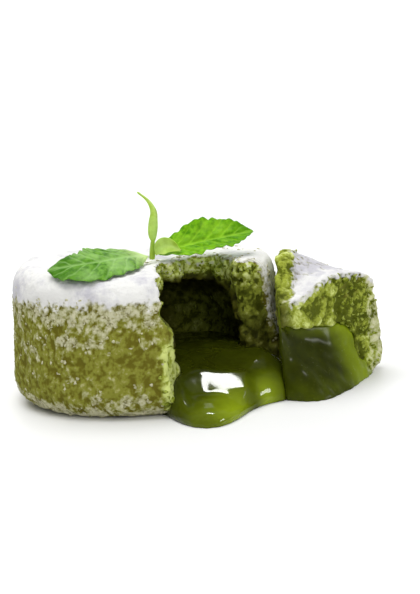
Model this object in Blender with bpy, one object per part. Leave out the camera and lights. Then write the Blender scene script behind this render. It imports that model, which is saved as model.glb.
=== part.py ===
"""A green-tea lava cake with its filling running out, the slice cut from it and a sprig of mint.

Units are metres. The origin is the middle of the cake's flat base, +Z is up, the slice
stands on the +X side and the cut opens towards -Y.
"""

import math

import bmesh
import bpy
from mathutils import Vector, noise

MM = 0.001

# The cake: a low drum, a little narrower at the top, with rounded edges.
BASE_RADIUS = 37.5 * MM
TOP_RADIUS = 35.4 * MM
CAKE_HEIGHT = 35.5 * MM
BASE_EDGE_ROUND = 6.5 * MM
TOP_EDGE_ROUND = 5.0 * MM
CAKE_SEGMENTS = 64
CRUST_RELIEF = 0.45 * MM
TOP_RELIEF = 0.30 * MM
CRUST_CELL = 6.0 * MM
CAKE_RISE = 0.047
CAKE_SINK = 0.030

# The molten middle left a hollow with a floor, a roof and a wall of sponge round it.
HOLLOW_RADIUS = 28.0 * MM
HOLLOW_FLOOR = 5.0 * MM
HOLLOW_ROOF = 30.3 * MM
HOLLOW_SEGMENTS = 40
HOLLOW_RELIEF = 0.7 * MM
HOLLOW_SQUARENESS = 2.9

# The cut in plan, in millimetres: from where its faces meet, out along the left face, round
# outside the cake, in along the right face and back along the roof's torn edge.
CUT_LEFT_FACE = ((3.0, -8.0), (4.6, -18.5), (7.4, -26.5), (5.0, -39.0))
CUT_OUTSIDE = ((2.0, -62.0), (62.0, -62.0), (62.0, -8.0))
CUT_RIGHT_FACE = ((38.5, -11.0), (27.0, -16.3))
CUT_ROOF_EDGE = ((23.0, -10.6), (19.4, -2.6), (12.5, -1.6), (8.0, -8.4))
# The left face leans back above a height, between two distances in front of the axis.
CUT_LEAN = 3.0 * MM
CUT_LEAN_HEIGHT = 20.0 * MM
CUT_LEAN_OVER = 5.0 * MM
CUT_LEAN_START = 18.0 * MM
CUT_LEAN_END = 31.0 * MM
CRUMB_STEP = 2.7 * MM
CRUMB_CELL = 4.2 * MM
CRUMB_DEPTH = 1.5 * MM
CUTTER_LOW = -3.0 * MM
CUTTER_HIGH = 40.0 * MM

# The gap kept between touching pieces.
GAP = 0.3 * MM

# The slice: a narrower wedge of the same drum, standing right of the cut and sagging to its tip.
SLICE_TIP = (34.6 * MM, -29.0 * MM)
SLICE_RIGHT_FACE = math.radians(44.5)
SLICE_ANGLE = math.radians(37.0)
SLICE_LEAN = -0.02
SLICE_AXIS_SHIFT = 4.0 * MM
SLICE_TIP_HEIGHT = 24.0 * MM
SLICE_RIGHT_RISE = 5.4 * MM
SLICE_RIGHT_RUN = 23.0 * MM
SLICE_LEFT_RISE = 11.4 * MM
SLICE_LEFT_RUN = 20.0 * MM
SLICE_BACK_START = 24.0 * MM
SLICE_BACK_RUN = 14.0 * MM
SLICE_RIGHT_FALL = 1.8 * MM
SLICE_LEFT_FALL = 2.4 * MM
SLICE_HOLLOW_RADIUS = 27.0 * MM
SLICE_HOLLOW_ROOF = 20.8 * MM
# The roof of the slice's hollow rises again by this share near the tip.
SLICE_HOLLOW_TILT = 0.34
SLICE_HOLLOW_TILT_RUN = 14.0 * MM
SLICE_TIP_ROUND = 2.2 * MM

# The filling: the pool in the hollow and the tongue that ran out of the cut, whose outline on
# the plate is in millimetres.
TONGUE = ((1.0, -31.0), (5.3, -37.0), (7.9, -43.5), (12.4, -49.0), (17.6, -49.2), (21.6, -44.4),
          (25.3, -36.6), (31.0, -30.0), (37.5, -27.0), (37.5, -20.0), (33.8, -14.0))
POOL_MIDDLE = (14.0 * MM, -14.0 * MM)
POOL_LEVEL = 12.0 * MM
POOL_FALL = 0.155
POOL_FALL_START = -8.0 * MM
POOL_RIPPLE = 0.35 * MM
POOL_RIPPLE_CELL = 14.0 * MM
POOL_SWELL = 2.6 * MM
POOL_SWELL_SPOT = (33.0 * MM, -14.0 * MM)
POOL_SWELL_SPREAD = 8.0 * MM
POOL_REACH = 29.5 * MM
POOL_RINGS = 9
POOL_SPOKES = 68
POOL_EDGE_POWER = 5.0
POOL_EDGE = 0.5 * MM

# The filling that clings to the slice: a skirt from the lip of its hollow to the plate.
SKIRT_LAYERS = 13
SKIRT_TOP = 25.0 * MM
SKIRT_START = 0.8 * MM
SKIRT_LENGTH = 35.6 * MM
SKIRT_DRAW_IN = 4.5 * MM
SKIRT_TURN = 25.0 * MM
SKIRT_STEPS = 14
SKIRT_LIP = 19.5 * MM
SKIRT_LIP_FALL = 4.5 * MM
SKIRT_END_POWER = 2.6
SKIRT_RUN = 9.8 * MM
SKIRT_END_RUN = 0.8 * MM
SKIRT_TIP_ROUND = 6.5 * MM
SKIRT_RECESS = 3.0 * MM
SKIRT_RECESS_LEAST = 0.9 * MM
SKIRT_EASE = 9.0 * MM
SKIRT_FULL = 12.0 * MM
SKIRT_BACK_STEPS = 5
SKIRT_BACK_REACH = 30.0 * MM
SKIRT_BACK_FIRST = math.radians(12.0)
SKIRT_BACK_LAST = SLICE_ANGLE - math.radians(2.5)
SKIRT_END_DEPTH = 2.6 * MM
SKIRT_SIDE = (3.4 * MM, 2.0 * MM)
SKIRT_SIDE_BULGE = 1.0 * MM

# The mint: a short stalk and four leaves, each a thin curved blade.
STALK_RADIUS = 0.75 * MM
STALK_FOOT = (2.9 * MM, -5.3 * MM, CAKE_HEIGHT + TOP_RELIEF + GAP)
STALK_TOP = (3.5 * MM, -6.6 * MM, 41.0 * MM)
LEAF_THICKNESS = 0.55 * MM
TOOTH_DEPTH = 0.10
RIB_GROOVE = 0.25 * MM
RIB_GROOVE_WIDTH = 0.9 * MM
VEIN_HEIGHT = 0.12 * MM
# Each leaf's midrib from its stem to its tip, in millimetres, the direction across its blade,
# and its sizes in millimetres: half its width, half its stem's width, how far its edges lift
# and how far they ripple. widest is the place along the rib where the blade is broadest.
LEAVES = {
    "mint_leaf_left": {
        "rib": ((2.0, -8.2, 37.5), (-3.2, -16.4, 39.1), (-10.0, -23.2, 39.5), (-17.0, -25.0, 39.2),
                (-23.6, -23.4, 38.3)),
        "across": (0.30, -0.88, -0.34), "half_width": 8.6, "stem": 0.4, "cup": -0.6, "wave": 0.4,
        "widest": 0.56, "toothed": True, "rows": 20, "columns": 8,
    },
    "mint_leaf_right": {
        "rib": ((4.5, -6.9, 37.9), (12.0, -7.2, 39.5), (19.8, -6.8, 40.6), (26.0, -6.0, 41.2),
                (30.6, -5.0, 41.6)),
        "across": (0.05, 0.87, 0.50), "half_width": 7.5, "stem": 0.4, "cup": 1.7, "wave": 0.5,
        "widest": 0.44, "toothed": True, "rows": 20, "columns": 8,
    },
    "mint_shoot": {
        "rib": ((3.6, -6.6, 41.3), (3.9, -6.8, 43.6), (4.3, -7.0, 46.3), (4.6, -7.0, 49.3),
                (3.3, -7.0, 52.2), (0.5, -7.0, 54.9)),
        "across": (0.85, 0.50, 0.0), "half_width": 1.5, "stem": 0.6, "cup": 0.4, "wave": 0.0,
        "widest": 0.32, "toothed": False, "rows": 20, "columns": 4,
    },
    "mint_leaf_young": {
        "rib": ((4.0, -7.9, 37.8), (5.6, -9.0, 39.7), (7.9, -10.2, 40.2), (10.8, -11.4, 38.9)),
        "across": (-0.25, 0.35, 0.90), "half_width": 2.3, "stem": 0.4, "cup": 0.7, "wave": 0.0,
        "widest": 0.5, "toothed": False, "rows": 12, "columns": 4,
    },
}

SPONGE_GREEN = (0.240, 0.250, 0.055)
FILLING_GREEN = (0.170, 0.225, 0.012)
LEAF_GREEN = (0.110, 0.330, 0.022)
SHOOT_GREEN = (0.360, 0.520, 0.070)


def start_empty():
    """Take every object out of the scene."""
    for thing in list(bpy.data.objects):
        bpy.data.objects.remove(thing, do_unlink=True)


def finish(name, colour, roughness):
    """A plain surface with the piece's colour."""
    material = bpy.data.materials.new(name)
    material.use_nodes = True
    shader = material.node_tree.nodes["Principled BSDF"]
    shader.inputs["Base Color"].default_value = (*colour, 1.0)
    shader.inputs["Roughness"].default_value = roughness
    shader.inputs["Metallic"].default_value = 0.0
    return material


def add_object(name, mesh_data, material=None):
    """Put a finished bmesh into the scene as a smooth-shaded object, its faces pointing out."""
    if mesh_data.calc_volume(signed=True) < 0:
        bmesh.ops.reverse_faces(mesh_data, faces=mesh_data.faces)
    mesh = bpy.data.meshes.new(name)
    mesh_data.to_mesh(mesh)
    mesh_data.free()
    mesh.shade_smooth()
    piece = bpy.data.objects.new(name, mesh)
    bpy.context.scene.collection.objects.link(piece)
    if material is not None:
        mesh.materials.append(material)
    return piece


def cut(piece, cutter, operation="DIFFERENCE"):
    """Cut one piece with another, which then only guides the cut."""
    cutter.hide_render = True
    cutter.display_type = "WIRE"
    boolean = piece.modifiers.new("cut_by_" + cutter.name, "BOOLEAN")
    boolean.operation = operation
    boolean.solver = "EXACT"
    boolean.object = cutter


def millimetres(points):
    """Points given in millimetres, in metres."""
    return [tuple(value * MM for value in point) for point in points]


def lumps(x, y, z, cell, depth):
    """Smooth uneven height at a point, from -depth to depth."""
    value = noise.noise(Vector((x / cell, y / cell, z / cell + 7.3)))
    finer = noise.noise(Vector((x / cell * 2.1, y / cell * 2.1, z / cell * 2.1 + 3.1)))
    return depth * max(-1.0, min(1.0, 1.25 * value + 0.55 * finer))


def smooth_step(value):
    """Ease from 0 to 1."""
    value = max(0.0, min(1.0, value))
    return value * value * (3.0 - 2.0 * value)


def arc(centre, radius, first, last, steps):
    """Points on an arc in a section plane, angles in degrees."""
    points = []
    for step in range(steps + 1):
        angle = math.radians(first + (last - first) * step / steps)
        points.append((centre[0] + radius * math.cos(angle), centre[1] + radius * math.sin(angle)))
    return points


def between(start, end, steps):
    """Points between two points, without the two themselves."""
    return [tuple(a + (b - a) * step / steps for a, b in zip(start, end)) for step in range(1, steps)]


def ring_normals(points, closed):
    """Outward normals of a run of points that goes anticlockwise round its inside."""
    normals = []
    count = len(points)
    for index in range(count):
        before = points[index - 1] if closed or index > 0 else points[0]
        after = points[(index + 1) % count] if closed or index < count - 1 else points[-1]
        run = Vector((after[0] - before[0], after[1] - before[1]))
        run.normalize()
        normals.append((run.y, -run.x))
    return normals


# ---------------------------------------------------------------- turned forms


def drum_profile():
    """The cake's section from the rim of its flat base, up the wall, to near the top's middle."""
    base_centre = (BASE_RADIUS - BASE_EDGE_ROUND, BASE_EDGE_ROUND)
    top_centre = (TOP_RADIUS - TOP_EDGE_ROUND, CAKE_HEIGHT - TOP_EDGE_ROUND)
    foot = arc(base_centre, BASE_EDGE_ROUND, -90, -2, 3)
    shoulder = arc(top_centre, TOP_EDGE_ROUND, 3, 90, 4)
    wall = between(foot[-1], shoulder[0], 9)
    top = between(shoulder[-1], (0.0, CAKE_HEIGHT), 7)
    return foot + wall + shoulder + top


def hollow_profile(radius, roof):
    """The hollow's section: a squarish oval from the middle of its floor to that of its roof."""
    middle = (HOLLOW_FLOOR + roof) / 2
    half = (roof - HOLLOW_FLOOR) / 2
    points = []
    steps = 12
    for step in range(1, steps):
        angle = math.radians(-90 + 180 * step / steps)
        reach = abs(math.cos(angle)) ** (2 / HOLLOW_SQUARENESS)
        lift = math.copysign(abs(math.sin(angle)) ** (2 / HOLLOW_SQUARENESS), math.sin(angle))
        points.append((radius * reach, middle + half * lift))
    return points


def turned(name, profile, segments, swell, low, high, warp):
    """A closed turned form. swell gives how far each point moves out along its normal."""
    mesh = bmesh.new()
    normals = ring_normals(profile, closed=False)
    rings = []
    for (reach, height), normal in zip(profile, normals):
        ring = []
        for segment in range(segments):
            angle = 2 * math.pi * segment / segments
            x, y = reach * math.cos(angle), reach * math.sin(angle)
            out = swell(x, y, height)
            side = (reach + normal[0] * out) / max(reach, 1e-9)
            ring.append(mesh.verts.new(warp(x * side, y * side, height + normal[1] * out)))
        rings.append(ring)
    bottom = mesh.verts.new(warp(0.0, 0.0, low))
    top = mesh.verts.new(warp(0.0, 0.0, high))
    for segment in range(segments):
        after = (segment + 1) % segments
        mesh.faces.new((bottom, rings[0][after], rings[0][segment]))
        mesh.faces.new((top, rings[-1][segment], rings[-1][after]))
        for lower, upper in zip(rings, rings[1:]):
            split(mesh, lower[segment], lower[after], upper[after], upper[segment])
    return add_object(name, mesh)


def split(mesh, a, b, c, d):
    """One four-sided patch as two triangles, always along the same diagonal."""
    mesh.faces.new((a, b, c))
    mesh.faces.new((a, c, d))


def still(x, y, z):
    """No warp."""
    return (x, y, z)


def risen(x, y, z):
    """The cake rose a little more on its left, away from the cut, and less at its back."""
    left = smooth_step((-x - 8.0 * MM) / (22.0 * MM))
    back = smooth_step(y / (25.0 * MM))
    return (x, y, z * (1.0 + CAKE_RISE * left - CAKE_SINK * back * (1.0 - left)))


def drum(name, grow, warp):
    """The whole cake before it was cut, or the same form grown by a gap."""

    def swell(x, y, z):
        depth = TOP_RELIEF if z > CAKE_HEIGHT - TOP_EDGE_ROUND * 0.3 else CRUST_RELIEF
        fade = smooth_step(z / BASE_EDGE_ROUND)
        return lumps(x, y, z, CRUST_CELL, depth) * fade + grow

    profile = drum_profile()
    return turned(name, profile, CAKE_SEGMENTS, swell, -grow, CAKE_HEIGHT + grow, warp)


def hollow(name, radius, roof, grow, warp=still):
    """The hollow that the filling left, shrunk by the gap when the sponge is grown by it."""

    def swell(x, y, z):
        return lumps(x, y, z, CRUMB_CELL, HOLLOW_RELIEF) - grow

    profile = hollow_profile(radius, roof)
    return turned(name, profile, HOLLOW_SEGMENTS, swell, HOLLOW_FLOOR + grow, roof - grow, warp)


# ---------------------------------------------------------------- torn upright forms


def stepped(corners, step):
    """Points every step along straight runs between corners, each with its own roughness."""
    points = []
    for start, end in zip(corners, corners[1:] + corners[:1]):
        length = math.dist(start[:2], end[:2])
        rough = min(start[2], end[2]) > 0
        count = max(1, round(length / step)) if rough else 1
        for index in range(count):
            share = index / count
            points.append(tuple(a + (b - a) * share for a, b in zip(start, end)))
    return points


def torn_prism(name, corners, low, high, grow, lean, warp=still):
    """An upright form whose rough sides are torn crumb.

    Each corner is (x, y, roughness), anticlockwise; lean gives a sideways shift by height.
    """
    outline = stepped(corners, CRUMB_STEP)
    normals = ring_normals(outline, closed=True)
    layers = round((high - low) / CRUMB_STEP)
    mesh = bmesh.new()
    rings = []
    for layer in range(layers + 1):
        z = low + (high - low) * layer / layers
        ring = []
        for (x, y, rough), normal in zip(outline, normals):
            shift_x, shift_y = lean(x, y, z)
            out = lumps(x, y, z, CRUMB_CELL, CRUMB_DEPTH) * rough + grow
            place = (x + shift_x + normal[0] * out, y + shift_y + normal[1] * out, z)
            ring.append(mesh.verts.new(warp(*place)))
        rings.append(ring)
    for lower, upper in zip(rings, rings[1:]):
        for index in range(len(outline)):
            after = (index + 1) % len(outline)
            split(mesh, lower[index], lower[after], upper[after], upper[index])
    mesh.faces.new(list(reversed(rings[0])))
    mesh.faces.new(rings[-1])
    return add_object(name, mesh)


def cut_corners():
    """The cut's outline with a roughness for each corner: none outside the cake."""
    left = [(x, y, 1.0) for x, y in millimetres(CUT_LEFT_FACE)]
    outside = [(x, y, 0.0) for x, y in millimetres(CUT_OUTSIDE)]
    right = [(x, y, 1.0) for x, y in millimetres(CUT_RIGHT_FACE + CUT_ROOF_EDGE)]
    return left + outside + right


def cut_lean(x, y, z):
    """The left face leans back above its middle, so the crumb below bulges past the crust."""
    above = smooth_step((z - CUT_LEAN_HEIGHT) / CUT_LEAN_OVER)
    start = smooth_step((-y - CUT_LEAN_START) / CUT_LEAN_OVER)
    end = smooth_step((-y - CUT_LEAN_END) / CUT_LEAN_OVER)
    left = 1.0 if x < 10.0 * MM else 0.0
    return (-CUT_LEAN * above * (start - end) * left, 0.0)


def cake_body(name, grow):
    """The cut cake, or the same form grown by a gap so that it can cut the filling."""
    body = drum(name, grow, risen)
    wedge = torn_prism(name + "_cut", cut_corners(), CUTTER_LOW, CUTTER_HIGH, -grow, cut_lean)
    cut(body, wedge)
    cut(body, hollow(name + "_hollow", HOLLOW_RADIUS, HOLLOW_ROOF, grow))
    return body


# ---------------------------------------------------------------- the slice


def slice_height(reach, turn):
    """Height of the slice's top: highest at the back of its left face, sunk to the tip."""
    back = smooth_step((reach - SLICE_BACK_START) / SLICE_BACK_RUN)
    right = SLICE_RIGHT_RISE * smooth_step(reach / SLICE_RIGHT_RUN) - SLICE_RIGHT_FALL * back
    left = SLICE_LEFT_RISE * smooth_step(reach / SLICE_LEFT_RUN) - SLICE_LEFT_FALL * back
    share = smooth_step(turn / SLICE_ANGLE) ** 1.5
    return SLICE_TIP_HEIGHT + right + (left - right) * share


def slice_warp(x, y, z):
    """Sag the drum's form to the slice's height, then stand it in its place beside the cake."""
    reach = math.hypot(x, y)
    turn = math.atan2(y, x) if reach > 1e-7 else 0.0
    sunk = z * slice_height(reach, turn) / CAKE_HEIGHT
    cosine, sine = math.cos(SLICE_RIGHT_FACE), math.sin(SLICE_RIGHT_FACE)
    return (
        SLICE_TIP[0] + x * cosine - y * sine + sunk * SLICE_LEAN,
        SLICE_TIP[1] + x * sine + y * cosine,
        sunk,
    )


def slice_drum_warp(x, y, z):
    """As slice_warp, for a turned form whose axis stands a little behind the slice's tip."""
    middle = SLICE_ANGLE / 2
    ahead = SLICE_AXIS_SHIFT * math.cos(middle)
    aside = SLICE_AXIS_SHIFT * math.sin(middle)
    return slice_warp(x + ahead, y + aside, z)


def slice_hollow_warp(x, y, z):
    """As slice_drum_warp, with the hollow's roof rising again towards the tip."""
    near_tip = 1.0 - smooth_step(math.hypot(x, y) / SLICE_HOLLOW_TILT_RUN)
    return slice_drum_warp(x, y, z * (1.0 + SLICE_HOLLOW_TILT * near_tip))


def slice_corners():
    """The slice in plan, in its own frame: its tip at the origin and its right face along +X."""
    beyond = BASE_RADIUS * 1.25
    left = (math.cos(SLICE_ANGLE), math.sin(SLICE_ANGLE))
    tip = SLICE_TIP_ROUND
    return [
        (tip, 0.0, 1.0),
        (beyond, 0.0, 0.5),
        (beyond * 1.05, beyond * 0.45, 0.0),
        (beyond * left[0] * 1.1, beyond * left[1] * 1.1, 0.0),
        (beyond * left[0], beyond * left[1], 0.25),
        (tip * 1.4 * left[0], tip * 1.4 * left[1], 0.25),
    ]


def upright(x, y, z):
    """No lean."""
    return (0.0, 0.0)


def slice_body(name, grow):
    """The slice, or the same form grown by a gap."""
    body = drum(name, grow, slice_drum_warp)
    keep = torn_prism(
        name + "_faces", slice_corners(), CUTTER_LOW, CUTTER_HIGH, grow, upright, slice_warp
    )
    cut(body, keep, "INTERSECT")
    space = hollow(
        name + "_hollow", SLICE_HOLLOW_RADIUS, SLICE_HOLLOW_ROOF, grow, slice_hollow_warp
    )
    cut(body, space)
    return body


# ---------------------------------------------------------------- the filling


def smooth_loop(points, per_span):
    """A closed smooth curve through the points."""
    count = len(points)
    curve = []
    for index in range(count):
        before, start = Vector(points[index - 1]), Vector(points[index])
        end, after = Vector(points[(index + 1) % count]), Vector(points[(index + 2) % count])
        for step in range(per_span):
            t = step / per_span
            place = start * 2 + (end - before) * t
            place += (before * 2 - start * 5 + end * 4 - after) * t * t
            place += (start * 3 - before - end * 3 + after) * t * t * t
            curve.append(place * 0.5)
    return curve


def reach_along(curve, middle, angle):
    """Distance from the middle to a closed plan curve, along one direction."""
    direction = Vector((math.cos(angle), math.sin(angle)))
    for start, end in zip(curve, curve[1:] + curve[:1]):
        run = end - start
        across = direction.x * run.y - direction.y * run.x
        if abs(across) < 1e-12:
            continue
        offset = start - middle
        distance = (offset.x * run.y - offset.y * run.x) / across
        share = (offset.x * direction.y - offset.y * direction.x) / across
        if distance > 0 and 0 <= share <= 1:
            return distance
    return 0.0


def filling_outline():
    """The filling in plan: a round pool under the roof and the tongue on the plate."""
    tongue = [Vector(point) for point in millimetres(TONGUE)]
    pool = []
    for degrees in range(0, 255, 30):
        turn = math.radians(degrees)
        pool.append(Vector((POOL_REACH * math.cos(turn), POOL_REACH * math.sin(turn))))
    return smooth_loop(tongue + pool, 6)


def filling_level(x, y):
    """Level of the filling: high under the roof and falling to the tongue's end."""
    fall = max(0.0, POOL_FALL_START - y) * POOL_FALL
    ripple = lumps(x, y, 0.0, POOL_RIPPLE_CELL, POOL_RIPPLE)
    away = math.hypot(x - POOL_SWELL_SPOT[0], y - POOL_SWELL_SPOT[1]) / POOL_SWELL_SPREAD
    return POOL_LEVEL - fall + ripple + POOL_SWELL * math.exp(-away * away)


def filling_blank(name):
    """The filling before the sponge shapes it: a low mound over its outline."""
    middle = Vector(POOL_MIDDLE)
    curve = filling_outline()
    turns = [2 * math.pi * spoke / POOL_SPOKES for spoke in range(POOL_SPOKES)]
    reaches = [reach_along(curve, middle, turn) for turn in turns]
    mesh = bmesh.new()
    crown = mesh.verts.new((middle.x, middle.y, filling_level(middle.x, middle.y) + POOL_EDGE))
    rings = []
    for number in range(1, POOL_RINGS + 1):
        share = math.sin(number / POOL_RINGS * math.pi / 2)
        rise = (1.0 - share ** POOL_EDGE_POWER) ** 0.5
        ring = []
        for turn, reach in zip(turns, reaches):
            x = middle.x + reach * share * math.cos(turn)
            y = middle.y + reach * share * math.sin(turn)
            ring.append(mesh.verts.new((x, y, filling_level(x, y) * rise + POOL_EDGE)))
        rings.append(ring)
    rings.append([mesh.verts.new((vertex.co.x, vertex.co.y, 0.0)) for vertex in rings[-1]])
    for spoke in range(POOL_SPOKES):
        after = (spoke + 1) % POOL_SPOKES
        mesh.faces.new((crown, rings[0][spoke], rings[0][after]))
        for inner, outer in zip(rings, rings[1:]):
            split(mesh, inner[spoke], outer[spoke], outer[after], inner[after])
    mesh.faces.new(list(reversed(rings[-1])))
    return add_object(name, mesh)


def skirt_edge(along):
    """Height at which the slice's filling meets the torn sponge of the right face."""
    if along < SKIRT_TURN:
        return SKIRT_LIP - SKIRT_LIP_FALL * along / SKIRT_TURN
    past = (along - SKIRT_TURN) / (SKIRT_LENGTH - SKIRT_TURN)
    return (SKIRT_LIP - SKIRT_LIP_FALL) * (1.0 - past ** SKIRT_END_POWER)


def skirt_front(along, z):
    """How far the slice's filling stands in front of the right face, at a place and height."""
    rise = min(1.0, z / max(skirt_edge(along), 0.1 * MM))
    run = SKIRT_RUN - (SKIRT_RUN - SKIRT_END_RUN) * (max(0.0, along) / SKIRT_LENGTH) ** 2
    start = min(1.0, (along - SKIRT_START) / SKIRT_TIP_ROUND)
    nose = math.sqrt(1.0 - (1.0 - start) ** 2)
    hollowed = smooth_step(along / SKIRT_EASE) - smooth_step((along - SKIRT_FULL) / SKIRT_EASE)
    recess = SKIRT_RECESS_LEAST * nose + (SKIRT_RECESS - SKIRT_RECESS_LEAST) * hollowed
    return run * (1.0 - rise) ** 1.7 * nose - recess * smooth_step(rise * 1.5 - 0.3)


def skirt_outline(z):
    """One level outline of the slice's filling, in the slice's own frame."""
    points = []
    end = SKIRT_LENGTH - SKIRT_DRAW_IN * smooth_step(z / SKIRT_LIP)
    for step in range(SKIRT_STEPS + 1):
        along = SKIRT_START + (end - SKIRT_START) * (step / SKIRT_STEPS) ** 1.25
        points.append((along, -skirt_front(along, z)))
    points.append((end, SKIRT_END_DEPTH))
    for step in range(SKIRT_BACK_STEPS + 1):
        angle = SKIRT_BACK_FIRST + (SKIRT_BACK_LAST - SKIRT_BACK_FIRST) * step / SKIRT_BACK_STEPS
        points.append((SKIRT_BACK_REACH * math.cos(angle), SKIRT_BACK_REACH * math.sin(angle)))
    belly = math.sin(math.pi * min(1.0, z / SKIRT_LIP))
    points.append((SKIRT_SIDE[0], SKIRT_SIDE[1] + SKIRT_SIDE_BULGE * belly))
    return points


def skirt_blank(name, grow):
    """The slice's filling before the sponge shapes it: level outlines stacked up to the roof."""
    cosine, sine = math.cos(SLICE_RIGHT_FACE), math.sin(SLICE_RIGHT_FACE)
    mesh = bmesh.new()
    rings = []
    for layer in range(SKIRT_LAYERS + 1):
        z = (SKIRT_TOP + 2 * grow) * layer / SKIRT_LAYERS - grow
        outline = skirt_outline(max(z, 0.0))
        ring = []
        for (x, y), normal in zip(outline, ring_normals(outline, closed=True)):
            x += normal[0] * grow
            y += normal[1] * grow
            across = SLICE_TIP[0] + x * cosine - y * sine + z * SLICE_LEAN
            ring.append(mesh.verts.new((across, SLICE_TIP[1] + x * sine + y * cosine, z)))
        rings.append(ring)
    for lower, upper in zip(rings, rings[1:]):
        for index in range(len(lower)):
            after = (index + 1) % len(lower)
            split(mesh, lower[index], lower[after], upper[after], upper[index])
    mesh.faces.new(list(reversed(rings[0])))
    mesh.faces.new(rings[-1])
    return add_object(name, mesh)


# ---------------------------------------------------------------- the mint


def along_curve(points, t):
    """Point and direction on a smooth open curve through the points, t from 0 to 1."""
    spans = len(points) - 1
    position = min(t * spans, spans - 1e-6)
    index = int(position)
    local = position - index
    start, end = Vector(points[index]), Vector(points[index + 1])
    before = Vector(points[index - 1]) if index > 0 else start * 2 - end
    after = Vector(points[index + 2]) if index < spans - 1 else end * 2 - start
    linear = end - before
    square = before * 2 - start * 5 + end * 4 - after
    cubic = start * 3 - before - end * 3 + after
    place = (start * 2 + linear * local + square * local ** 2 + cubic * local ** 3) * 0.5
    heading = linear + square * 2 * local + cubic * 3 * local ** 2
    return place, heading.normalized()


def leaf_width(leaf, row):
    """Half the blade's width at a row, notched on every other row of a toothed leaf."""
    t = row / leaf["rows"]
    power = math.log(0.5) / math.log(leaf["widest"])
    shape = math.sin(math.pi * min(1.0, t ** power)) ** 0.85
    notched = leaf["toothed"] and row % 2 and 0.1 < t < 0.95
    tooth = 1.0 - TOOTH_DEPTH if notched else 1.0
    return max(leaf["half_width"] * shape * tooth, leaf["stem"]) * MM, shape


def leaf_lift(leaf, t, s, shape):
    """How far the blade rises off its flat form, s from -1 to 1 across it."""
    ripple = leaf["wave"] * MM * s * s * math.sin(2 * math.pi * (2.5 * t + 0.25 * (s > 0)))
    groove = RIB_GROOVE * math.exp(-((s * leaf["half_width"] * MM) / RIB_GROOVE_WIDTH) ** 2)
    vein = VEIN_HEIGHT * math.sin(2 * math.pi * (7 * t - 1.6 * abs(s)))
    return (leaf["cup"] * MM * s * s + ripple - groove + vein) * shape


def add_leaf(name, leaf, material):
    """A thin leaf along its midrib, with both faces split into triangles alike.

    The rib's heading crossed with the direction across the blade gives the upper face.
    """
    rib = millimetres(leaf["rib"])
    rows, columns = leaf["rows"], leaf["columns"]
    mesh = bmesh.new()
    upper, lower = [], []
    for row in range(rows + 1):
        place, heading = along_curve(rib, row / rows)
        across = Vector(leaf["across"]) - heading * Vector(leaf["across"]).dot(heading)
        across.normalize()
        normal = heading.cross(across)
        width, shape = leaf_width(leaf, row)
        up, down = [], []
        for column in range(columns + 1):
            s = 2.0 * column / columns - 1.0
            lift = leaf_lift(leaf, row / rows, s, shape)
            middle = place + across * (width * s) + normal * lift
            up.append(mesh.verts.new(middle + normal * LEAF_THICKNESS / 2))
            down.append(mesh.verts.new(middle - normal * LEAF_THICKNESS / 2))
        upper.append(up)
        lower.append(down)
    for row in range(rows):
        for column in range(columns):
            split(mesh, upper[row][column], upper[row][column + 1],
                  upper[row + 1][column + 1], upper[row + 1][column])
            split(mesh, lower[row][column], lower[row][column + 1],
                  lower[row + 1][column + 1], lower[row + 1][column])
        for column in (0, columns):
            split(mesh, upper[row][column], upper[row + 1][column],
                  lower[row + 1][column], lower[row][column])
    for row in (0, rows):
        for column in range(columns):
            split(mesh, upper[row][column], upper[row][column + 1],
                  lower[row][column + 1], lower[row][column])
    bmesh.ops.recalc_face_normals(mesh, faces=mesh.faces)
    return add_object(name, mesh, material)


def stalk(name, foot, top, radius, sides, rows, material):
    """A short round stalk, a little thicker at its foot."""
    mesh = bmesh.new()
    rings = []
    for row in range(rows + 1):
        t = row / rows
        centre = Vector(foot).lerp(Vector(top), t)
        reach = radius * (1.25 - 0.4 * t)
        ring = []
        for index in range(sides):
            angle = 2 * math.pi * index / sides
            ring.append(mesh.verts.new(centre + Vector((math.cos(angle), math.sin(angle), 0)) * reach))
        rings.append(ring)
    for lower, upper in zip(rings, rings[1:]):
        for index in range(sides):
            after = (index + 1) % sides
            mesh.faces.new((lower[index], lower[after], upper[after], upper[index]))
    mesh.faces.new(list(reversed(rings[0])))
    mesh.faces.new(rings[-1])
    return add_object(name, mesh, material)


def mint_sprig():
    """The stalk stands where the cut faces meet, with a leaf to each side and a young shoot."""
    leaf_green = finish("mint_leaf", LEAF_GREEN, 0.45)
    shoot_green = finish("mint_shoot", SHOOT_GREEN, 0.42)
    stalk("mint_stalk", STALK_FOOT, STALK_TOP, STALK_RADIUS, 10, 4, shoot_green)
    for name, leaf in LEAVES.items():
        add_leaf(name, leaf, leaf_green if leaf["toothed"] else shoot_green)


def main():
    start_empty()
    sponge = finish("green_tea_sponge", SPONGE_GREEN, 0.85)
    lava = finish("molten_filling", FILLING_GREEN, 0.15)

    cake = cake_body("cake", 0.0)
    cake.data.materials.append(sponge)

    wedge = slice_body("slice", 0.0)
    wedge.data.materials.append(sponge)

    cake_room = cake_body("room_round_cake", GAP)
    slice_room = slice_body("room_round_slice", GAP)

    filling = filling_blank("filling")
    filling.data.materials.append(lava)
    cut(filling, cake_room)
    cut(filling, slice_room)
    cut(filling, skirt_blank("room_round_slice_filling", GAP))

    skirt = skirt_blank("slice_filling", 0.0)
    skirt.data.materials.append(lava)
    cut(skirt, slice_room)

    mint_sprig()


main()
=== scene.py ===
# %% [markdown]
# # A green-tea lava cake, cut open
#
# A low drum of green-tea sponge has icing sugar and a sprig of mint on top. A slice was cut out
# and stands against its right side, and the molten middle runs out between the two. The solids
# come from the frame, in the right size and place but with plain faceted surfaces. Each is
# copied here, made finer, roughened and given its finish.

import math

import bmesh
import bpy
import numpy as np
from mathutils import Matrix, Quaternion, Vector
from mathutils.kdtree import KDTree


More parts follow.
